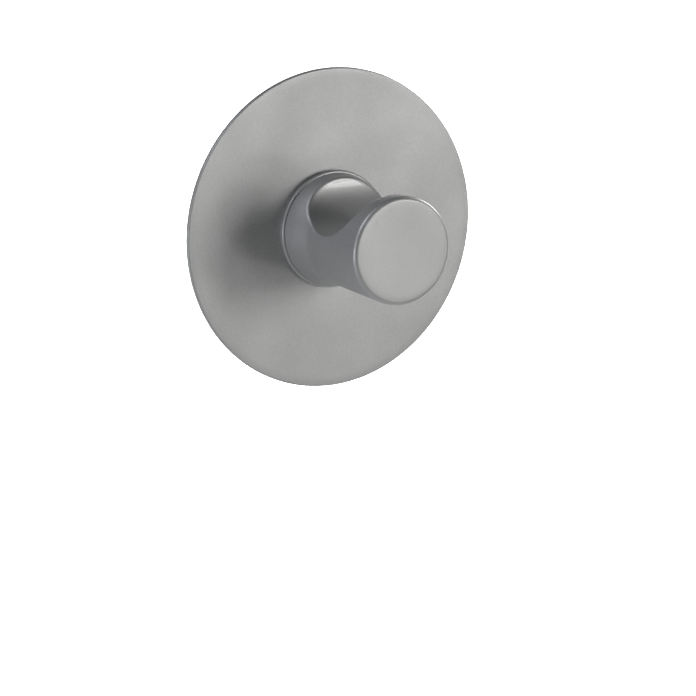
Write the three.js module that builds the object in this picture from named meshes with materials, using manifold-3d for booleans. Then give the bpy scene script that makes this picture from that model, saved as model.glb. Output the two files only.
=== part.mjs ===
// A round twist-lock suction wall hook: a thin disc that stands on the wall, and a stout round hook
// body with a saddle cut across its top. A quarter turn of the hook body works a face cam in its foot.
// The cam draws a stud and the middle of a soft membrane off the wall, and that holds the disc on.
// Millimetres, +Z up. The hook's axis runs along -Y, and the wall is the plane y = 0.

import * as THREE from "three";
import { mergeVertices } from "three/addons/utils/BufferGeometryUtils.js";
import Module from "manifold-3d";

const wasm = await Module();
wasm.setup();

// ---- driving dimensions ----------------------------------------------------------------------------
// A depth is a distance from the wall, measured outwards along -Y.

const ROUND = 64; // sides of a large round piece
const SMALL_ROUND = 20; // sides of a pin, screw or small hole
const CORNER_STEPS = 3; // straight steps round a softened corner
const RUNNING_GAP = 0.05; // radial clearance where one piece turns or slides on another
const END_GAP = 0.15; // clearance at an end that must never touch
const PRESS_GAP = 0.02; // clearance of a pressed or riveted fit
const CUT = 1; // how far a cut runs past the piece that it goes through
const JOIN = 0.5; // how far two shapes that make one solid run into each other
const SAME_POINT = 1e-4; // points nearer than this are one point
const LIFT = 1.6; // how far the cam draws the membrane's middle off the wall

const DISC = { radius: 40, thick: 1.3, edge: 0.35, hole: 8.2 };
const GEL = { inner: 11, outer: 39.2, thick: 0.3 };
const MEMBRANE = { outer: 39.6, thick: 0.5, boss: 5.8, bossBack: 5.4, shoulder: 7.4, flat: 8.9 };
const FACE = GEL.thick + MEMBRANE.thick + DISC.thick; // depth of the disc's front face

const BODY = { length: 34.9, rim: 13.5, rimEdge: 1.1, foot: 14.1, footEdge: 0.3 };
// The body's side from the rim to the foot: it narrows to a waist, then flares out.
const BODY_SIDE = [
  { ahead: 28, radius: 13.3, soft: 2 },
  { ahead: 18, radius: 13.05, soft: 2 },
  { ahead: 10, radius: 12.7, soft: 2.5 },
  { ahead: 5, radius: 13.6, soft: 1.2 },
];
const SADDLE = { ahead: 17.8, above: 14.5, radius: 12.2 }; // axis of the round cut, and its radius
const RING = { outer: 14.65, inner: 12.4, thick: 1.9, edge: 0.8 };

const HUB = { flange: 12.3, flangeThick: 1.0, radius: 9.0, recess: 7.8, recessDeep: 1.8, length: 4.4 };
const STUD = { radius: 2.15, flat: 1.65, spigot: 1.45, reach: 8.9 };
const ANCHOR = { radius: 4.8, thick: 0.7 };
const SLIDE_WASHER = { inner: 9.15, outer: 12.2, thick: 0.55 };
const CAM_WASHER = { inner: 2.5, outer: 5.4, thick: 0.25 };
const CAM = { inner: 2.4, outer: 5.5, base: 0.7, lug: 6.6, lugWide: 2.4, lugThick: 0.9 };
const PIN = { radius: 0.8, half: 3.9 };
const PIN_SLOT = { endGap: 0.4, sideGap: 0.2 }; // how much larger than the pin the cam's slot is
const CAM_DWELL = 20; // degrees of level track at each end of a ramp
const QUARTER = 90; // degrees the hook body turns between locked and free
const STOP = { ahead: 3.4, radius: 1.0, dog: 0.6, dogTip: 8.1, dogRoot: 9.3, sunk: 0.5, slotGap: 0.2 };
const SOCKET = { radius: 0.55, deep: 1.3, sides: 6 }; // in the stop screw's outer end
const RIVET = { count: 4, circle: 10.7, radius: 0.85, head: 1.6, headThick: 0.5, sunk: 0.1 };

// Depths along the axis, stacked outwards from the disc's front face.
const BODY_FRONT = FACE + BODY.length;
const WASHER_BACK = FACE + HUB.flangeThick + RUNNING_GAP;
const SKIRT = WASHER_BACK + SLIDE_WASHER.thick + RUNNING_GAP;
const FOOT = FACE + RING.thick + END_GAP;
const HUB_FRONT = FACE + HUB.length;
const CAM_BACK = HUB_FRONT + CAM_WASHER.thick + 2 * RUNNING_GAP;
const TRACK_TOP = CAM_BACK + CAM.base + LIFT;
const PIN_DEPTH = TRACK_TOP + PIN.radius + END_GAP;
const CAVITY = { cam: CAM.outer + RUNNING_GAP, pin: 4.15, pinAhead: 9.05, tip: 2.6, tipDeep: 0.2 };
const PIN_END = FACE + CAVITY.pinAhead;
const STUD_FRONT = FACE + STUD.reach;
const MEMBRANE_MID = GEL.thick + LIFT; // depth of the membrane's wall side where it is drawn up
const ANCHOR_BACK = MEMBRANE_MID + MEMBRANE.thick + RUNNING_GAP;

// ---- materials -------------------------------------------------------------------------------------

const finish = (color, roughness, metalness) =>
  new THREE.MeshStandardMaterial({ color, roughness, metalness });
const FINISHES = {
  satinSilver: finish(0xb0b0ae, 0.42, 0.75),
  zinc: finish(0x9c9d9e, 0.5, 0.9),
  steel: finish(0xb9babc, 0.3, 1.0),
  acetal: finish(0xe9e7e0, 0.5, 0.0),
  membrane: finish(0xb9bcbd, 0.5, 0.0),
  gel: finish(0xd5d8d8, 0.2, 0.0),
};

// ---- solids ----------------------------------------------------------------------------------------

// A closed geometry as a solid: shared vertices are merged, and triangles with no area are dropped.
function solid(geometry) {
  const bare = geometry.clone();
  bare.deleteAttribute("normal");
  bare.deleteAttribute("uv");
  const merged = mergeVertices(bare, SAME_POINT);
  const corners = merged.index.array;
  const kept = [];
  for (let i = 0; i < corners.length; i += 3) {
    const [a, b, c] = [corners[i], corners[i + 1], corners[i + 2]];
    if (a !== b && b !== c && c !== a) {
      kept.push(a, b, c);
    }
  }
  const mesh = new wasm.Mesh({
    numProp: 3,
    vertProperties: merged.attributes.position.array,
    triVerts: new Uint32Array(kept),
  });
  return new wasm.Manifold(mesh);
}

// A finished sub-part: the solid as a named mesh in its finish.
function piece(name, shape, material) {
  const mesh = shape.getMesh();
  const geometry = new THREE.BufferGeometry();
  geometry.setAttribute("position", new THREE.BufferAttribute(mesh.vertProperties, 3));
  geometry.setIndex(new THREE.BufferAttribute(mesh.triVerts, 1));
  geometry.computeVertexNormals();
  const made = new THREE.Mesh(geometry, material);
  made.name = name;
  return made;
}

// A turned shape about the hook's axis. Corners are [radius, depth, softness], listed from the front
// round the outside to the back; a softness rounds that corner off. A shape that leaves the axis closes
// on itself.
function turned(corners, sides = ROUND) {
  const onAxis = corners[0][0] === 0;
  const points = onAxis ? outline(corners) : outline([...corners, corners[0]]);
  return solid(new THREE.LatheGeometry(points, sides));
}

function outline(corners) {
  const at = corners.map(([radius, depth]) => new THREE.Vector2(radius, -depth));
  const path = new THREE.Path([at[0]]);
  path.moveTo(at[0].x, at[0].y);
  for (let i = 1; i < at.length; i++) {
    const soft = corners[i][2] ?? 0;
    if (soft > 0) {
      const before = at[i - 1].clone().sub(at[i]).setLength(soft).add(at[i]);
      const after = at[i + 1].clone().sub(at[i]).setLength(soft).add(at[i]);
      path.lineTo(before.x, before.y);
      path.quadraticCurveTo(at[i].x, at[i].y, after.x, after.y);
    } else {
      path.lineTo(at[i].x, at[i].y);
    }
  }
  return path.getPoints(CORNER_STEPS);
}

// A ring or disc with square edges between two depths.
function ring(inner, outer, front, back, sides = ROUND) {
  if (inner === 0) {
    return turned([[0, front], [outer, front], [outer, back], [0, back]], sides);
  }
  return turned([[inner, front], [outer, front], [outer, back], [inner, back]], sides);
}

// A box from its centre and size, with its centre's depth in place of y.
function block(width, along, height, x, depth, z) {
  const geometry = new THREE.BoxGeometry(width, along, height);
  geometry.translate(x, -depth, z);
  return solid(geometry);
}

// A round bar along X between two ends, on the axis at the given depth and height.
function barAlongX(radius, low, high, depth, z, sides) {
  const geometry = new THREE.CylinderGeometry(radius, radius, high - low, sides);
  geometry.rotateZ(Math.PI / 2);
  geometry.translate((low + high) / 2, -depth, z);
  return solid(geometry);
}

// A bar that stands straight below the axis, between two distances from it.
function barBelow(radius, near, far, depth, sides = SMALL_ROUND) {
  const geometry = new THREE.CylinderGeometry(radius, radius, far - near, sides);
  geometry.rotateX(Math.PI / 2);
  geometry.translate(0, -depth, -(near + far) / 2);
  return solid(geometry);
}

// ---- the fixed part: disc, membrane's rim and hub -----------------------------------------------------

const rivetPlaces = Array.from({ length: RIVET.count }, (_, i) => {
  const angle = Math.PI / 4 + (i * 2 * Math.PI) / RIVET.count;
  return { x: RIVET.circle * Math.cos(angle), z: RIVET.circle * Math.sin(angle) };
});

// A rivet, or its hole when it is a gap larger: a shank with a flat head sunk in the disc's back.
function rivetShape(place, grow) {
  const past = grow > 0 ? CUT : -RIVET.sunk;
  const front = FACE + HUB.flangeThick + past;
  const back = FACE - DISC.thick - past;
  const headFront = FACE - DISC.thick + RIVET.headThick + grow;
  const shank = ring(0, RIVET.radius + grow, front, back, SMALL_ROUND);
  const head = ring(0, RIVET.head + grow, headFront, back, SMALL_ROUND);
  return shank.add(head).translate([place.x, 0, place.z]);
}

function facePlate() {
  const { radius, thick, edge, hole } = DISC;
  const back = FACE - thick;
  let shape = turned([
    [hole, FACE],
    [radius, FACE, edge],
    [radius, back, edge],
    [hole, back],
  ]);
  for (const place of rivetPlaces) {
    shape = shape.subtract(rivetShape(place, RUNNING_GAP));
  }
  return shape;
}

// The soft membrane: flat on the disc's back, with its middle drawn up into the hub's recess.
function suctionMembrane() {
  const { outer, thick, boss, bossBack, shoulder, flat } = MEMBRANE;
  return turned([
    [0, MEMBRANE_MID + thick],
    [boss, MEMBRANE_MID + thick],
    [shoulder, GEL.thick + thick],
    [outer, GEL.thick + thick],
    [outer, GEL.thick],
    [flat, GEL.thick],
    [bossBack, MEMBRANE_MID],
    [0, MEMBRANE_MID],
  ]);
}

// The hub: a flange on the disc and a bearing for the hook body, with a recess for the membrane's
// middle, a two-flat bore that keeps the stud from turning, and a quarter-turn slot for the stop screw.
function guideHub() {
  const { flange, flangeThick, radius, recess, recessDeep } = HUB;
  let shape = turned([
    [0, HUB_FRONT],
    [radius, HUB_FRONT],
    [radius, FACE + flangeThick],
    [flange, FACE + flangeThick],
    [flange, FACE],
    [recess, FACE],
    [recess, FACE + recessDeep],
    [0, FACE + recessDeep],
  ]);
  shape = shape.subtract(studBar(HUB_FRONT + CUT, FACE, RUNNING_GAP));
  shape = shape.subtract(stopSlot());
  for (const place of rivetPlaces) {
    shape = shape.subtract(rivetShape(place, RUNNING_GAP));
  }
  return shape;
}

// The slot in the hub's side, from straight below the axis round to the +X side.
function stopSlot() {
  const half = STOP.dog + RUNNING_GAP;
  const depth = FACE + STOP.ahead;
  const slack = THREE.MathUtils.radToDeg(half / STOP.dogTip);
  const sweep = THREE.MathUtils.degToRad(QUARTER + 2 * slack);
  const start = THREE.MathUtils.degToRad(QUARTER + slack);
  const floor = STOP.dogTip - STOP.slotGap;
  const sector = new THREE.Shape();
  sector.absarc(0, 0, HUB.radius + CUT, 0, sweep, false);
  sector.absarc(0, 0, floor, sweep, 0, true);
  const geometry = new THREE.ExtrudeGeometry(sector, {
    depth: 2 * half,
    bevelEnabled: false,
    curveSegments: SMALL_ROUND,
  });
  geometry.translate(0, 0, -half);
  geometry.rotateX(Math.PI / 2);
  geometry.rotateY(start);
  geometry.translate(0, -depth, 0);
  return solid(geometry);
}

// The bead round the hook body's foot.
function baseRing() {
  const { outer, inner, thick, edge } = RING;
  return turned([
    [inner, FACE + thick],
    [outer, FACE + thick, edge],
    [outer, FACE],
    [inner, FACE],
  ]);
}

// ---- the stud and what rides on it ---------------------------------------------------------------------

// The stud's bar, round with two flats, between two depths; grown for the bore that guides it.
function studBar(front, back, grow) {
  const bar = ring(0, STUD.radius + grow, front, back, SMALL_ROUND);
  const width = 4 * STUD.radius;
  return bar.intersect(block(width, front - back, 2 * (STUD.flat + grow), 0, (front + back) / 2, 0));
}

function stud() {
  const shoulder = ANCHOR_BACK + ANCHOR.thick + PRESS_GAP;
  const bar = studBar(STUD_FRONT, shoulder, 0);
  const spigot = ring(0, STUD.spigot, shoulder + JOIN, ANCHOR_BACK, SMALL_ROUND);
  const hole = barAlongX(PIN.radius + PRESS_GAP, -PIN.half, PIN.half, PIN_DEPTH, 0, SMALL_ROUND);
  return bar.add(spigot).subtract(hole);
}

function crossPin() {
  return barAlongX(PIN.radius, -PIN.half, PIN.half, PIN_DEPTH, 0, SMALL_ROUND);
}

function anchorDisc() {
  const hole = STUD.spigot + PRESS_GAP;
  return ring(hole, ANCHOR.radius, ANCHOR_BACK + ANCHOR.thick, ANCHOR_BACK, SMALL_ROUND);
}

// ---- the hook body and its cam ---------------------------------------------------------------------------

// Height of the cam's track over its base at an angle from +X towards +Z. Two like ramps face each
// other; between them the track drops to the base, where the stud's pin goes through at assembly.
function trackHeight(angle) {
  const turn = ((angle + 180 - CAM_DWELL) % 180 + 180) % 180 - (180 - CAM_DWELL);
  if (turn >= 0) {
    return LIFT;
  }
  if (turn >= -QUARTER) {
    return LIFT * (1 + turn / QUARTER);
  }
  return 0;
}

// The cam: a ring whose front is lifted to the track, with two lugs that the hook body drives and a
// slot across it for the pin.
function camRing() {
  const { inner, outer, base, lug, lugWide, lugThick } = CAM;
  const floor = CAM_BACK + base;
  const section = [[inner, floor], [outer, floor], [outer, CAM_BACK], [inner, CAM_BACK], [inner, floor]];
  const geometry = new THREE.LatheGeometry(outline(section), ROUND);
  const position = geometry.attributes.position;
  for (let i = 0; i < position.count; i++) {
    if (Math.abs(position.getY(i) + floor) < SAME_POINT) {
      const angle = THREE.MathUtils.radToDeg(Math.atan2(position.getZ(i), position.getX(i)));
      position.setY(i, -floor - trackHeight(angle));
    }
  }
  const lugs = block(lugWide, lugThick, 2 * lug, 0, CAM_BACK + lugThick / 2, 0);
  const middle = ring(0, (inner + outer) / 2, CAM_BACK + lugThick + CUT, CAM_BACK - CUT);
  const slotLength = 2 * (PIN.half + PIN_SLOT.endGap);
  const slotWidth = 2 * (PIN.radius + PIN_SLOT.sideGap);
  const slot = block(slotLength, 2 * (base + LIFT + CUT), slotWidth, 0, CAM_BACK, 0);
  const slotAngle = (180 - QUARTER) / 2;
  return solid(geometry)
    .add(lugs.subtract(middle))
    .subtract(slot.rotate([0, -slotAngle, 0]));
}

// The hook body's outside: a rounded front rim, a slight waist, and a flare down to the foot.
function bodyOutside() {
  return [
    [0, BODY_FRONT],
    [BODY.rim, BODY_FRONT, BODY.rimEdge],
    ...BODY_SIDE.map(({ ahead, radius, soft }) => [radius, FACE + ahead, soft]),
    [BODY.foot, FOOT, BODY.footEdge],
  ];
}

function hookBody() {
  const { cam, pin, tip, tipDeep } = CAVITY;
  const camEnd = TRACK_TOP + END_GAP;
  const bearing = HUB.radius + RUNNING_GAP;
  const bearingEnd = HUB_FRONT + 2 * RUNNING_GAP;
  let shape = turned([
    ...bodyOutside(),
    [HUB.flange, FOOT],
    [HUB.flange, SKIRT],
    [bearing, SKIRT],
    [bearing, bearingEnd],
    [cam, bearingEnd],
    [cam, camEnd],
    [pin, camEnd],
    [pin, PIN_END],
    [tip, PIN_END + tipDeep],
    [0, PIN_END + tipDeep],
  ]);
  const reach = 2 * BODY.foot;
  const { ahead, above, radius } = SADDLE;
  shape = shape.subtract(barAlongX(radius, -reach, reach, FACE + ahead, above, ROUND));
  const lugGap = 2 * RUNNING_GAP;
  const lugFront = CAM_BACK + CAM.lugThick + lugGap;
  const keyway = block(
    CAM.lugWide + lugGap, lugFront - HUB_FRONT, 2 * (CAM.lug + lugGap), 0, (lugFront + HUB_FRONT) / 2, 0,
  );
  const screwHole = barBelow(STOP.radius + RUNNING_GAP, HUB.radius - CUT, reach, FACE + STOP.ahead);
  return shape.subtract(keyway).subtract(screwHole);
}

// The stop screw: a headless screw with a hexagon socket, and a dog that runs in the hub's slot.
function stopScrew() {
  const depth = FACE + STOP.ahead;
  const outer = BODY.foot - STOP.sunk;
  const thread = barBelow(STOP.radius, STOP.dogRoot, outer, depth);
  const dog = barBelow(STOP.dog, STOP.dogTip, STOP.dogRoot + JOIN, depth);
  const socket = barBelow(SOCKET.radius, outer - SOCKET.deep, outer + CUT, depth, SOCKET.sides);
  return thread.add(dog).subtract(socket);
}

// ---- assembly ------------------------------------------------------------------------------------------

const group = new THREE.Group();
const { satinSilver, zinc, steel, acetal, membrane, gel } = FINISHES;

const washerFront = WASHER_BACK + SLIDE_WASHER.thick;
const slideWasher = ring(SLIDE_WASHER.inner, SLIDE_WASHER.outer, washerFront, WASHER_BACK);
const camWasherBack = HUB_FRONT + RUNNING_GAP;
const camWasherFront = camWasherBack + CAM_WASHER.thick;
const camWasher = ring(CAM_WASHER.inner, CAM_WASHER.outer, camWasherFront, camWasherBack, SMALL_ROUND);

group.add(piece("face_plate", facePlate(), satinSilver));
group.add(piece("gel_ring", ring(GEL.inner, GEL.outer, GEL.thick, 0), gel));
group.add(piece("suction_membrane", suctionMembrane(), membrane));
group.add(piece("guide_hub", guideHub(), zinc));
group.add(piece("base_ring", baseRing(), satinSilver));
rivetPlaces.forEach((place, i) => {
  group.add(piece(`hub_rivet_${i + 1}`, rivetShape(place, 0), steel));
});
group.add(piece("slide_washer", slideWasher, acetal));
group.add(piece("cam_washer", camWasher, steel));
group.add(piece("anchor_disc", anchorDisc(), steel));
group.add(piece("stud", stud(), steel));
group.add(piece("cross_pin", crossPin(), steel));
group.add(piece("cam_ring", camRing(), zinc));
group.add(piece("hook_body", hookBody(), satinSilver));
group.add(piece("stop_screw", stopScrew(), steel));

export default group;
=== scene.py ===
"""A round suction wall hook in satin silver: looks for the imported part, in metres, +Z up.

The hook's axis runs along -Y and the wall is the plane y = 0. A depth is a distance out from the wall.
Shapes are worked out in millimetres as whole arrays, and made metres where they become meshes.
"""

import math

import bpy
import numpy as np
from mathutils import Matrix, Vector


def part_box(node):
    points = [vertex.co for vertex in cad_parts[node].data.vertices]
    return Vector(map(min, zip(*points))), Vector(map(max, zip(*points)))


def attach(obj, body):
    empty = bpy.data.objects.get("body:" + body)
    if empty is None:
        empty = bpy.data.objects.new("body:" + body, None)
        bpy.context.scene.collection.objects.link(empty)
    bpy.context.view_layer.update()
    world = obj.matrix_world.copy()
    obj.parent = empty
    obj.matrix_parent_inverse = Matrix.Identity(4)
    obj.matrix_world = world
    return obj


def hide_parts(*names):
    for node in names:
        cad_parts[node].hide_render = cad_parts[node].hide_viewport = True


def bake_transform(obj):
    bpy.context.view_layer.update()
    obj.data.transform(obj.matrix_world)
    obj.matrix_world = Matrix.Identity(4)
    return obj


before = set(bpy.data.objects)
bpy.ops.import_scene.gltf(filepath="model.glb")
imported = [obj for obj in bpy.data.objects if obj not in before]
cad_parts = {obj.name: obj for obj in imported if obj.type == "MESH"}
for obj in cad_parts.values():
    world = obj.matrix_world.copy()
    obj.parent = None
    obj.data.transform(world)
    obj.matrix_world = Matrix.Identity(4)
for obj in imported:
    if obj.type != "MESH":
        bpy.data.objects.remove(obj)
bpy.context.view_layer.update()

MM = 0.001


def node_box(node):
    """A CAD node's lowest and highest corner in millimetres."""
    low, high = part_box(node)
    return np.array(low) / MM, np.array(high) / MM


# ---- sizes in millimetres, from the frame and from the shapes' own driving sizes --------------------

disc_low, disc_high = node_box("face_plate")
ring_low, ring_high = node_box("base_ring")
body_low, body_high = node_box("hook_body")
gel_low, gel_high = node_box("gel_ring")
pad_high = node_box("suction_membrane")[1]

DISC_RADIUS = disc_high[0]
FACE = -disc_low[1]  # depth of the disc's front face
DISC_BACK = -disc_high[1]
DISC_HOLE = 8.2
DISC_EDGE = 0.42

RING_OUTER = ring_high[0]
RING_INNER = 12.4
RING_FRONT = -ring_low[1]
RING_EDGE = 0.42
RING_UNDER = 0.5  # how far the bead is drawn in where it meets the disc

BODY_FRONT = -body_low[1]
FOOT_GAP = 0.04  # between the bead and the body's foot
BODY_FOOT = RING_FRONT + FOOT_GAP
BODY_SKIRT = -body_high[1]
BODY_RIM = 13.4  # radius at the front, and the round of its edge
BODY_RIM_EDGE = 1.1
BODY_WAIST = 12.75
BODY_FLARE = 14.1
SADDLE_DEPTH = FACE + 17.8  # the saddle cut's axis: its depth, its height and its radius
SADDLE_HEIGHT = 14.5
SADDLE_RADIUS = 12.2
SADDLE_EDGE = 0.6  # softness of the edge between the saddle and the body's side
SCREW_DEPTH = FACE + 3.4  # the stop screw's hole: its depth, its radius, and how far it goes in
SCREW_HOLE = 1.12
SCREW_SUNK = 3.0
SCREW_EDGE = 0.25  # softness of the hole's edge
SCREW_AREA = 1.5  # how far the finer mesh round the hole reaches, in hole radii
BODY_FOOT_RADIUS = 13.9  # radius of the side where the hole is
BODY_TURNS = 360  # columns of the body's mesh, and its extra rows and columns at the cuts
SADDLE_ROWS = 121
HOLE_ROWS = 23
HOLE_TURNS = 25
HALVINGS = 30  # they leave an interval far smaller than a mesh can hold

# The hollow in the body's foot, from the wall outwards: a well for the hub's flange, the bore that
# turns on the hub, room for the cam and for the ends of its pin, and the blind end past the stud.
HUB_CLEAR = 12.3
HUB_BORE, HUB_END = 9.05, FACE + 4.5
CAM_ROOM, CAM_END = 5.55, FACE + 7.3
PIN_ROOM, PIN_END = 4.15, FACE + 9.05
STUD_ROOM, STUD_END = 2.6, FACE + 9.25

GEL_OUTER = gel_high[0]
GEL_INNER = 11.0
GEL_THICK = -gel_low[1]
PAD_OUTER = pad_high[0]
PAD_THICK = 0.5
PAD_LIFT = 1.6  # how far the membrane's middle is drawn off the wall
PAD_BOSS = 5.8  # radius of the drawn-up middle and of the foot of its shoulder, on the disc's side
PAD_SHOULDER = 7.4
PAD_BOSS_BACK = 5.4  # and the same on the wall's side
PAD_FLAT = 8.9


# ---- surfaces ---------------------------------------------------------------------------------------


def fillet(before, corner, after, radius, steps=8):
    """Points of the round that joins two straight runs at a corner. The arc's centre lies on the
    corner's bisector at radius / sin(half angle), and the points turn evenly about it."""
    to_before = (before - corner) / np.linalg.norm(before - corner)
    to_after = (after - corner) / np.linalg.norm(after - corner)
    half = math.acos(np.clip(to_before @ to_after, -1, 1)) / 2
    if radius <= 0 or math.pi / 2 - half < 1e-4:
        return corner[None]
    bisector = to_before + to_after
    centre = corner + bisector / np.linalg.norm(bisector) * radius / math.sin(half)
    start = corner + to_before * radius / math.tan(half) - centre
    end = corner + to_after * radius / math.tan(half) - centre
    sweep = math.pi - 2 * half
    share = np.linspace(0, 1, steps + 1)[:, None]
    return centre + (np.sin((1 - share) * sweep) * start + np.sin(share * sweep) * end) / math.sin(sweep)


def outline(corners):
    """A profile of (radius, depth, rounding) corners as one array of points, each corner rounded."""
    at = np.array([corner[:2] for corner in corners], float)
    parts = [at[:1]]
    for i in range(1, len(corners) - 1):
        parts.append(fillet(at[i - 1], at[i], at[i + 1], corners[i][2] if len(corners[i]) > 2 else 0))
    parts.append(at[-1:])
    return np.concatenate(parts)


def refine(profile, longest):
    """The profile with each run cut into equal steps no longer than a length."""
    runs = np.linalg.norm(np.diff(profile, axis=0), axis=1)
    counts = np.maximum(1, np.ceil(runs / longest)).astype(int)
    parts = [
        profile[i] + (profile[i + 1] - profile[i]) * np.linspace(0, 1, n, endpoint=False)[:, None]
        for i, n in enumerate(counts)
    ]
    return np.concatenate([*parts, profile[-1:]])


def round_surface(name, radius, depth, turns, closed=False):
    """A surface about the hook's axis. radius and depth are grids, one row for each profile point and
    one column for each turn, an angle from straight up towards +X. A first or last row on the axis
    becomes a single pole, and a closed profile joins its last row to its first."""
    rows, columns = radius.shape
    x, z = radius * np.sin(turns), radius * np.cos(turns)
    grid = np.stack([x, -depth, z], axis=-1)
    first_pole = not closed and abs(radius[0]).max() < 1e-9
    last_pole = not closed and abs(radius[-1]).max() < 1e-9
    body = grid[int(first_pole):rows - int(last_pole)]
    count = len(body)
    index = np.arange(count * columns).reshape(count, columns)
    lower = np.roll(index, -1, axis=0) if closed else index[1:]
    upper = index if closed else index[:-1]
    quads = np.stack(
        [upper, np.roll(upper, -1, axis=1), np.roll(lower, -1, axis=1), lower], axis=-1
    ).reshape(-1, 4)
    points = [body.reshape(-1, 3)]
    faces = quads.tolist()
    if first_pole:
        pole = count * columns
        points.append(grid[0, :1])
        faces += np.stack(
            [np.full(columns, pole), np.roll(index[0], -1), index[0]], axis=-1
        ).tolist()
    if last_pole:
        pole = count * columns + int(first_pole)
        points.append(grid[-1, :1])
        faces += np.stack(
            [np.full(columns, pole), index[-1], np.roll(index[-1], -1)], axis=-1
        ).tolist()
    mesh = bpy.data.meshes.new(name)
    mesh.from_pydata(np.concatenate(points) * MM, [], faces)
    mesh.polygons.foreach_set("use_smooth", np.ones(len(faces), bool))
    mesh.update()
    made = bpy.data.objects.new(name, mesh)
    bpy.context.scene.collection.objects.link(made)
    return made


def turned(name, corners, sides=256, longest=1.0, closed=False):
    """A solid of revolution from a profile of (radius, depth, rounding) corners, listed from the
    front round the outside to the back. A closed profile goes round a section clear of the axis."""
    profile = refine(outline(corners), longest)
    if closed:
        profile = profile[:-1]
    turns = np.arange(sides) * 2 * math.pi / sides
    radius = np.repeat(profile[:, :1], sides, axis=1)
    depth = np.repeat(profile[:, 1:], sides, axis=1)
    return round_surface(name, radius, depth, turns, closed)


def crease(piece, angle=math.radians(32)):
    """Shades the piece smooth, but keeps edges sharper than the angle as edges."""
    piece.data.set_sharp_from_angle(angle=angle)
    return piece


def smooth_most(a, b, width):
    """The greater of two distance fields, with the crossover between them rounded over about a width:
    a polynomial smooth maximum."""
    near = np.clip(width - np.abs(a - b), 0, None) / width
    return np.maximum(a, b) + near**2 * width / 4


def smooth_step(value):
    """An even S-shaped rise from 0 to 1: 3v^2 - 2v^3 of the value kept within 0 and 1."""
    v = np.clip(value, 0, 1)
    return v * v * (3 - 2 * v)


# ---- pieces -----------------------------------------------------------------------------------------


def make_disc():
    """The thin front disc: flat faces, a small round all along its edge, a plain hole under the hub."""
    corners = [
        (DISC_HOLE, FACE),
        (DISC_RADIUS, FACE, DISC_EDGE),
        (DISC_RADIUS, DISC_BACK, DISC_EDGE),
        (DISC_HOLE, DISC_BACK),
        (DISC_HOLE, FACE),
    ]
    return crease(turned("satin_disc", corners, sides=360, longest=2.0, closed=True))


def make_base_ring():
    """The bead round the body's foot: a low ring, rounded at its outer edge and drawn in under it, so
    that a fine shadow line parts it from the disc."""
    corners = [
        (RING_INNER, RING_FRONT),
        (RING_OUTER, RING_FRONT, RING_EDGE),
        (RING_OUTER, RING_FRONT - 2 * RING_EDGE, RING_EDGE / 2),
        (RING_OUTER - RING_UNDER, FACE),
        (RING_INNER, FACE),
        (RING_INNER, RING_FRONT),
    ]
    return crease(turned("base_bead", corners, sides=288, longest=0.6, closed=True))


def body_side():
    """The hook body's side, as one radius for each depth: from the rounded front rim over a slight
    waist to the flare at the foot. Its depths crowd together where the saddle's walls stand steep,
    at equal turns round the saddle's axis, and where the stop screw's hole is."""
    side = outline([
        (0, BODY_FRONT),
        (BODY_RIM, BODY_FRONT, BODY_RIM_EDGE),
        (13.2, FACE + 27.5, 30),
        (13.0, FACE + 17.0, 40),
        (BODY_WAIST, FACE + 10.5, 9),
        (13.7, FACE + 5.0, 8),
        (BODY_FLARE, BODY_FOOT, 0.1),
        (HUB_CLEAR, BODY_FOOT),
    ])[1:-1]
    wall = SADDLE_DEPTH + SADDLE_RADIUS * np.sin(np.linspace(-math.pi / 2, math.pi / 2, SADDLE_ROWS))
    hole = SCREW_DEPTH + np.linspace(-SCREW_AREA, SCREW_AREA, HOLE_ROWS) * SCREW_HOLE
    depths = np.unique(np.concatenate([side[:, 1], refine(side, 1.2)[:, 1], wall, hole]))[::-1]
    return np.stack([np.interp(depths, side[::-1, 1], side[::-1, 0]), depths], axis=-1)


def cut_saddle(radius, depth, turns):
    """The side's radius with the saddle cut out of it. The body is where a point lies within the side
    and outside the round cut; both are distance fields, joined by a smooth maximum, and the radius at
    which the joined field is zero is found along each turn by halving the interval that holds it."""
    low, high = np.zeros_like(radius), radius + SADDLE_EDGE
    for _ in range(HALVINGS):
        middle = (low + high) / 2
        height = SADDLE_HEIGHT - middle * np.cos(turns)
        cut = SADDLE_RADIUS - np.hypot(depth - SADDLE_DEPTH, height)
        outside = smooth_most(middle - radius, cut, SADDLE_EDGE) > 0
        low, high = np.where(outside, low, middle), np.where(outside, middle, high)
    return low


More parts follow.
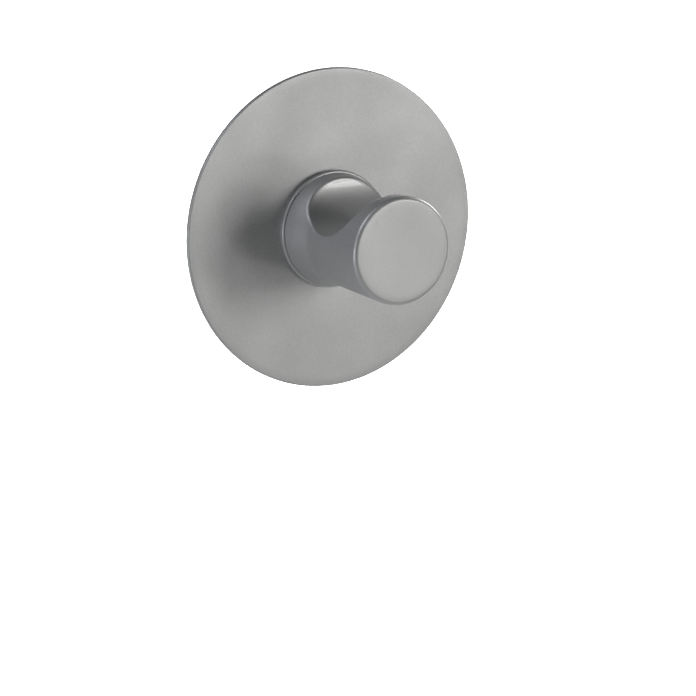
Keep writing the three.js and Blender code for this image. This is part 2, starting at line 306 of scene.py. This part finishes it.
def make_body():
    """The hook body: a flat front, its side with the saddle cut across the top, and in under the foot
    up the bore that turns on the hub to the blind end of the cam's cavity. Below the foot a round hole
    for the stop screw goes in: there the radius falls to the hole's floor in a smooth step of the
    distance from the hole's centre. The turns crowd together round that hole."""
    side = body_side()
    turns = np.arange(BODY_TURNS) * 2 * math.pi / BODY_TURNS
    across_hole = np.linspace(-SCREW_AREA, SCREW_AREA, HOLE_TURNS) * SCREW_HOLE
    turns = np.concatenate([turns, math.pi + across_hole / BODY_FOOT_RADIUS])
    turns = np.unique(turns.round(6))
    radius = np.repeat(side[:, :1], turns.size, axis=1)
    depth = np.repeat(side[:, 1:], turns.size, axis=1)
    from_hole = np.hypot((turns - math.pi) * BODY_FOOT_RADIUS, depth - SCREW_DEPTH)
    radius = cut_saddle(radius, depth, turns)
    radius = radius - SCREW_SUNK * smooth_step((SCREW_HOLE - from_hole) / SCREW_EDGE + 0.5)
    front = refine(np.array([(0, BODY_FRONT), side[0]]), 1.5)[:-1]
    inside = refine(outline([
        side[-1],
        (HUB_CLEAR, BODY_FOOT),
        (HUB_CLEAR, BODY_SKIRT),
        (HUB_BORE, BODY_SKIRT),
        (HUB_BORE, HUB_END),
        (CAM_ROOM, HUB_END),
        (CAM_ROOM, CAM_END),
        (PIN_ROOM, CAM_END),
        (PIN_ROOM, PIN_END),
        (STUD_ROOM, STUD_END),
        (0, STUD_END),
    ]), 2.5)[1:]
    around = np.ones(turns.size)
    radius = np.concatenate([front[:, :1] * around, radius, inside[:, :1] * around])
    depth = np.concatenate([front[:, 1:] * around, depth, inside[:, 1:] * around])
    return crease(round_surface("hook_body_skin", radius, depth, turns))


def make_membrane():
    """The soft membrane: flat behind the disc, with softened edges at its rim, and its middle drawn up
    off the wall over a sloping shoulder."""
    mid = GEL_THICK + PAD_LIFT
    corners = [
        (0, mid + PAD_THICK),
        (PAD_BOSS, mid + PAD_THICK, 0.4),
        (PAD_SHOULDER, GEL_THICK + PAD_THICK, 0.4),
        (PAD_OUTER, GEL_THICK + PAD_THICK, 0.1),
        (PAD_OUTER, GEL_THICK, 0.15),
        (PAD_FLAT, GEL_THICK, 0.5),
        (PAD_BOSS_BACK, mid, 0.5),
        (0, mid),
    ]
    return crease(turned("membrane_skin", corners, sides=256, longest=0.8))


def make_gel():
    """The tacky gel ring: a thin flat film with rolled edges."""
    corners = [
        (GEL_INNER, GEL_THICK, 0.05),
        (GEL_OUTER, GEL_THICK, 0.05),
        (GEL_OUTER, 0, 0.12),
        (GEL_INNER, 0, 0.12),
        (GEL_INNER, GEL_THICK),
    ]
    return crease(turned("gel_film", corners, sides=256, longest=2.0, closed=True))


# ---- materials --------------------------------------------------------------------------------------


def linear(hex_colour):
    """An sRGB hex colour such as "b0b0ae" as linear red, green, blue and alpha."""
    srgb = np.array([int(hex_colour[i:i + 2], 16) for i in (0, 2, 4)]) / 255
    low, high = srgb / 12.92, ((srgb + 0.055) / 1.055) ** 2.4
    return (*np.where(srgb <= 0.04045, low, high), 1.0)


def add_node(owner, kind, settings=None, **links):
    """One node of a kind, in the tree of a material or of the world. settings go on its sockets, by
    name or number, or on the node itself where it has no such socket; links name a socket (spaces as
    _, and a number after one _) and the output that feeds it."""
    tree = owner.node_tree
    node = tree.nodes.new(kind)
    for key, value in (settings or {}).items():
        if isinstance(key, int) or key in node.inputs:
            node.inputs[key].default_value = value
        else:
            setattr(node, key, value)
    for key, source in links.items():
        target = int(key[1:]) if key[1:].isdigit() else key.replace("_", " ")
        tree.links.new(source, node.inputs[target])
    return node


def new_material(name):
    """A named material with an empty node tree."""
    material = bpy.data.materials.new(name)
    material.use_nodes = True
    material.node_tree.nodes.clear()
    return material


def output(material, shader):
    """Ends the material's tree with a shader."""
    add_node(material, "ShaderNodeOutputMaterial", Surface=shader.outputs[0])
    return material


def satin_silver():
    """Satin silver lacquer sprayed on die-cast zinc: aluminium flake in a matt clear binder. It gives
    an even grey with a broad soft highlight, a thin bright line along its rounded edges from the clear
    binder, a fine flake sparkle, the faint peel of a sprayed coat, slow clouds of more and less gloss,
    and a few small nibs of dust that catch the light."""
    material = new_material("satin_silver_lacquer")
    place = add_node(material, "ShaderNodeTexCoord").outputs["Object"]
    flake = add_node(  # real flakes are 0.03 mm: drawn coarser, so that they show as a fine grain
        material, "ShaderNodeTexNoise", {"Scale": 1 / (0.22 * MM), "Detail": 2.0}, Vector=place
    )
    peel = add_node(
        material, "ShaderNodeTexNoise", {"Scale": 1 / (1.3 * MM), "Detail": 1.5}, Vector=place
    )
    cloud = add_node(
        material, "ShaderNodeTexNoise", {"Scale": 1 / (16 * MM), "Detail": 3.0}, Vector=place
    )
    dust = add_node(  # points about 5.5 mm apart: the few that lie in the surface show as nibs
        material, "ShaderNodeTexVoronoi", {"Scale": 1 / (5.5 * MM), "Randomness": 1.0}, Vector=place
    )
    nib = add_node(
        material, "ShaderNodeMapRange",
        {"interpolation_type": "SMOOTHSTEP", "From Min": 0.0, "From Max": 0.035, "To Min": 1.0,
         "To Max": 0.0},
        Value=dust.outputs["Distance"],
    )
    tone = add_node(
        material, "ShaderNodeMapRange",
        {"From Min": 0.3, "From Max": 0.7, "To Min": 0.0, "To Max": 1.0},
        Value=flake.outputs["Fac"],
    )
    tint = add_node(
        material, "ShaderNodeMix",
        {"data_type": "RGBA", 6: linear("aaaaa9"), 7: linear("b8b8b6")},
        Factor=tone.outputs[0],
    )
    gloss = add_node(
        material, "ShaderNodeMapRange",
        {"From Min": 0.3, "From Max": 0.7, "To Min": 0.48, "To Max": 0.56},
        Value=cloud.outputs["Fac"],
    )
    fine = add_node(
        material, "ShaderNodeBump", {"Strength": 0.2, "Distance": 0.02 * MM},
        Height=flake.outputs["Fac"],
    )
    coat = add_node(
        material, "ShaderNodeBump", {"Strength": 0.4, "Distance": 0.03 * MM},
        Height=peel.outputs["Fac"], Normal=fine.outputs[0],
    )
    raised = add_node(
        material, "ShaderNodeBump", {"Strength": 1.0, "Distance": 0.08 * MM},
        Height=nib.outputs[0], Normal=coat.outputs[0],
    )
    shader = add_node(
        material, "ShaderNodeBsdfPrincipled",
        {"Metallic": 0.6, "Coat Weight": 0.3, "Coat Roughness": 0.15},
        Base_Color=tint.outputs[2], Roughness=gloss.outputs[0], Normal=raised.outputs[0],
    )
    return output(material, shader)


def metal(name, dark, light, roughness, grain_mm, stretch):
    """A bare metal with a fine grain: its tone, its gloss and its relief follow marks of a real size,
    given in millimetres. A stretch above 1 shortens the marks along the hook's axis, as a lathe
    leaves them."""
    material = new_material(name)
    place = add_node(material, "ShaderNodeTexCoord").outputs["Object"]
    axis = add_node(
        material, "ShaderNodeMapping", {"Scale": (1, stretch, 1)}, Vector=place
    )
    grain = add_node(
        material, "ShaderNodeTexNoise", {"Scale": 1 / (grain_mm * MM), "Detail": 3.0},
        Vector=axis.outputs[0],
    )
    tint = add_node(
        material, "ShaderNodeMix", {"data_type": "RGBA", 6: linear(dark), 7: linear(light)},
        Factor=grain.outputs["Fac"],
    )
    gloss = add_node(
        material, "ShaderNodeMapRange",
        {"From Min": 0.3, "From Max": 0.7, "To Min": roughness - 0.06, "To Max": roughness + 0.06},
        Value=grain.outputs["Fac"],
    )
    bump = add_node(
        material, "ShaderNodeBump", {"Strength": 0.3, "Distance": 0.01 * MM},
        Height=grain.outputs["Fac"],
    )
    shader = add_node(
        material, "ShaderNodeBsdfPrincipled", {"Metallic": 1.0},
        Base_Color=tint.outputs[2], Roughness=gloss.outputs[0], Normal=bump.outputs[0],
    )
    return output(material, shader)


def soft_plastic(name, dark, light, roughness, grain_mm, ior=1.5, sheen=0.0):
    """A moulded plastic or rubber: its own colour with a faint mottle, and a fine mould texture of a
    grain given in millimetres."""
    material = new_material(name)
    place = add_node(material, "ShaderNodeTexCoord").outputs["Object"]
    mottle = add_node(
        material, "ShaderNodeTexNoise", {"Scale": 1 / (9 * MM), "Detail": 2.0}, Vector=place
    )
    grain = add_node(
        material, "ShaderNodeTexNoise", {"Scale": 1 / (grain_mm * MM), "Detail": 2.0}, Vector=place
    )
    tint = add_node(
        material, "ShaderNodeMix", {"data_type": "RGBA", 6: linear(dark), 7: linear(light)},
        Factor=mottle.outputs["Fac"],
    )
    bump = add_node(
        material, "ShaderNodeBump", {"Strength": 0.4, "Distance": 0.02 * MM},
        Height=grain.outputs["Fac"],
    )
    shader = add_node(
        material, "ShaderNodeBsdfPrincipled",
        {"Roughness": roughness, "IOR": ior, "Sheen Weight": sheen},
        Base_Color=tint.outputs[2], Normal=bump.outputs[0],
    )
    return output(material, shader)


def moulded_polyurethane():
    """Soft polyurethane moulded in a polished tool: a mid grey, faintly cloudy, with a dull sheen."""
    return soft_plastic("moulded_grey_polyurethane", "8f9394", "9da1a2", 0.42, 0.3, 1.5, 0.1)


def tacky_gel():
    """Tacky polyurethane gel, poured as a film: a paler grey that shines as if wet."""
    return soft_plastic("tacky_gel_film", "b4b9ba", "c0c4c5", 0.14, 1.2, 1.43)


def turned_steel():
    """Stainless steel turned on a lathe: bright, with fine rings that spread its highlights."""
    return metal("turned_stainless_steel", "b2b4b6", "c4c5c7", 0.28, 0.4, 6.0)


def cast_zinc():
    """Raw die-cast zinc: a duller, greyer metal than the steel, with the die's even fine grain."""
    return metal("raw_cast_zinc", "8e9092", "a2a4a5", 0.5, 0.5, 1.0)


def white_acetal():
    """Moulded acetal: a slightly warm white with a waxy half-gloss."""
    return soft_plastic("white_acetal", "dedbd2", "eae8e1", 0.45, 0.4, 1.48)


def dress(piece, material):
    """Gives a piece one material, in every slot that it has."""
    piece.data.materials.clear()
    piece.data.materials.append(material)


# ---- assembly ---------------------------------------------------------------------------------------

silver = satin_silver()
membrane_rubber = moulded_polyurethane()
gel_rubber = tacky_gel()
steel = turned_steel()
zinc = cast_zinc()
acetal = white_acetal()

disc = make_disc()
bead = make_base_ring()
body = make_body()
membrane = make_membrane()
gel = make_gel()

# piece, its material, the CAD node that it stands for, and the record's slot
replaced = (
    (disc, silver, "face_plate", "satin_silver"),
    (bead, silver, "base_ring", "satin_silver"),
    (body, silver, "hook_body", "satin_silver"),
    (membrane, membrane_rubber, "suction_membrane", "membrane"),
    (gel, gel_rubber, "gel_ring", "gel"),
)
for piece, material, node, slot in replaced:
    dress(piece, material)
    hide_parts(node)

for piece in (disc, bead, gel):
    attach(piece, "wall_disc")
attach(body, "hook")
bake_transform(membrane)

carried = {
    "guide_hub": zinc,
    "cam_ring": zinc,
    "slide_washer": acetal,
    "cam_washer": steel,
    "anchor_disc": steel,
    "stud": steel,
    "cross_pin": steel,
    "stop_screw": steel,
    "hub_rivet_1": steel,
    "hub_rivet_2": steel,
    "hub_rivet_3": steel,
    "hub_rivet_4": steel,
}
for node, material in carried.items():
    dress(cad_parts[node], material)


# ---- floor, light and camera ------------------------------------------------------------------------

LIGHT_DISTANCE = 0.9
FLOOR_HEIGHT = -0.60
FLOOR_HALF = 12.0
FLOOR_GLOW = 0.08  # how strongly the floor and the room light the hook
ROOM_GLOW = 0.03
SEEN_GLOW = 0.95  # how much brighter the camera sees both, so that every view has a pale ground
COOL_WHITE = "f1f5ff"
BACKDROP_PLACE = Vector((1.4, 1.9, 1.3))  # behind the hook, and turned down and away from it, so that
BACKDROP_FACING = Vector((0.4, 1.6, -1.7))  # it lights the floor that is seen and not the hook

VIEW_AZIMUTH = -30.0
VIEW_ELEVATION = 12.35
VIEW_DISTANCE = 1.15
PICTURE_WIDTH = 0.1721  # width of the picture at the disc
AIM_RIGHT = 0.00424  # the picture's centre, from the centre of the disc's face
AIM_DOWN = 0.02971
SENSOR_WIDTH = 36.0


def direction(azimuth, elevation):
    """The unit vector from the object towards an azimuth and elevation in degrees. Azimuth 0 is
    straight in front of it, along -Y, and 90 is its +X side."""
    a, e = math.radians(azimuth), math.radians(elevation)
    return Vector((math.sin(a) * math.cos(e), -math.cos(a) * math.cos(e), math.sin(e)))


def soft_box(name, place, facing, size, power, colour="ffffff"):
    """A square area light at a place, with its face turned along a direction."""
    data = bpy.data.lights.new(name, "AREA")
    data.size = size
    data.energy = power
    data.color = linear(colour)[:3]
    lamp = bpy.data.objects.new(name, data)
    lamp.location = place
    lamp.rotation_mode = "QUATERNION"
    lamp.rotation_quaternion = facing.to_track_quat("-Z", "Y")
    bpy.context.scene.collection.objects.link(lamp)


def light_from(name, azimuth, elevation, size, power, colour="ffffff"):
    """A soft box that faces the hook from an azimuth and elevation in degrees, at the lights' common
    distance."""
    towards = direction(azimuth, elevation)
    soft_box(name, towards * LIGHT_DISTANCE, -towards, size, power, colour)


def pale_floor():
    """A wide plain pale floor well below the hook, with an even glow of its own."""
    mesh = bpy.data.meshes.new("floor")
    half = FLOOR_HALF
    corners = [(-half, -half, FLOOR_HEIGHT), (half, -half, FLOOR_HEIGHT),
               (half, half, FLOOR_HEIGHT), (-half, half, FLOOR_HEIGHT)]
    mesh.from_pydata(corners, [], [(0, 1, 2, 3)])
    floor = bpy.data.objects.new("floor", mesh)
    bpy.context.scene.collection.objects.link(floor)
    material = new_material("pale_floor")
    seen = add_node(material, "ShaderNodeLightPath").outputs["Is Camera Ray"]
    glow = add_node(
        material, "ShaderNodeMath", {"operation": "MULTIPLY_ADD", 1: SEEN_GLOW, 2: FLOOR_GLOW}, _0=seen
    )
    shader = add_node(
        material, "ShaderNodeBsdfPrincipled",
        {"Base Color": linear("fafafa"), "Roughness": 0.9, "Emission Color": (1, 1, 1, 1)},
        Emission_Strength=glow.outputs[0],
    )
    dress(floor, output(material, shader))


def white_room():
    """Even white light from all round, dim where it lights the hook and bright where it is seen."""
    world = bpy.data.worlds.new("white_room")
    world.use_nodes = True
    background = world.node_tree.nodes["Background"]
    background.inputs["Color"].default_value = (1, 1, 1, 1)
    seen = add_node(world, "ShaderNodeLightPath").outputs["Is Camera Ray"]
    glow = add_node(
        world, "ShaderNodeMath", {"operation": "MULTIPLY_ADD", 1: SEEN_GLOW, 2: ROOM_GLOW}, _0=seen
    )
    world.node_tree.links.new(glow.outputs[0], background.inputs["Strength"])
    bpy.context.scene.world = world


def make_camera():
    """A long-lens camera in front of the hook, to its left and a little above it."""
    data = bpy.data.cameras.new("camera")
    data.sensor_width = SENSOR_WIDTH
    data.lens = SENSOR_WIDTH * VIEW_DISTANCE / PICTURE_WIDTH
    camera = bpy.data.objects.new("camera", data)
    back = direction(VIEW_AZIMUTH, VIEW_ELEVATION)
    right = Vector((0, 0, 1)).cross(back).normalized()
    up = back.cross(right)
    aim = Vector((0, -FACE * MM, 0)) + right * AIM_RIGHT - up * AIM_DOWN
    camera.location = aim + back * VIEW_DISTANCE
    camera.rotation_mode = "QUATERNION"
    camera.rotation_quaternion = (-back).to_track_quat("-Z", "Y")
    bpy.context.scene.collection.objects.link(camera)
    bpy.context.scene.camera = camera


pale_floor()
white_room()
light_from("key_box", 28, 12, 0.15, 1.2)
light_from("key_side_box", 36, 4, 0.2, 1.16)
light_from("key_low_box", 24, -4, 0.3, 0.8)
light_from("left_side_strip", -84, -8, 0.2, 2.25, COOL_WHITE)
light_from("left_top_box", -90, 45, 0.35, 2.6, COOL_WHITE)
light_from("right_edge_light", 108, 20, 0.3, 4.6)
soft_box("backdrop_light", BACKDROP_PLACE, BACKDROP_FACING, 2.5, 160.0)
make_camera()
bpy.context.scene.view_settings.view_transform = "Standard"
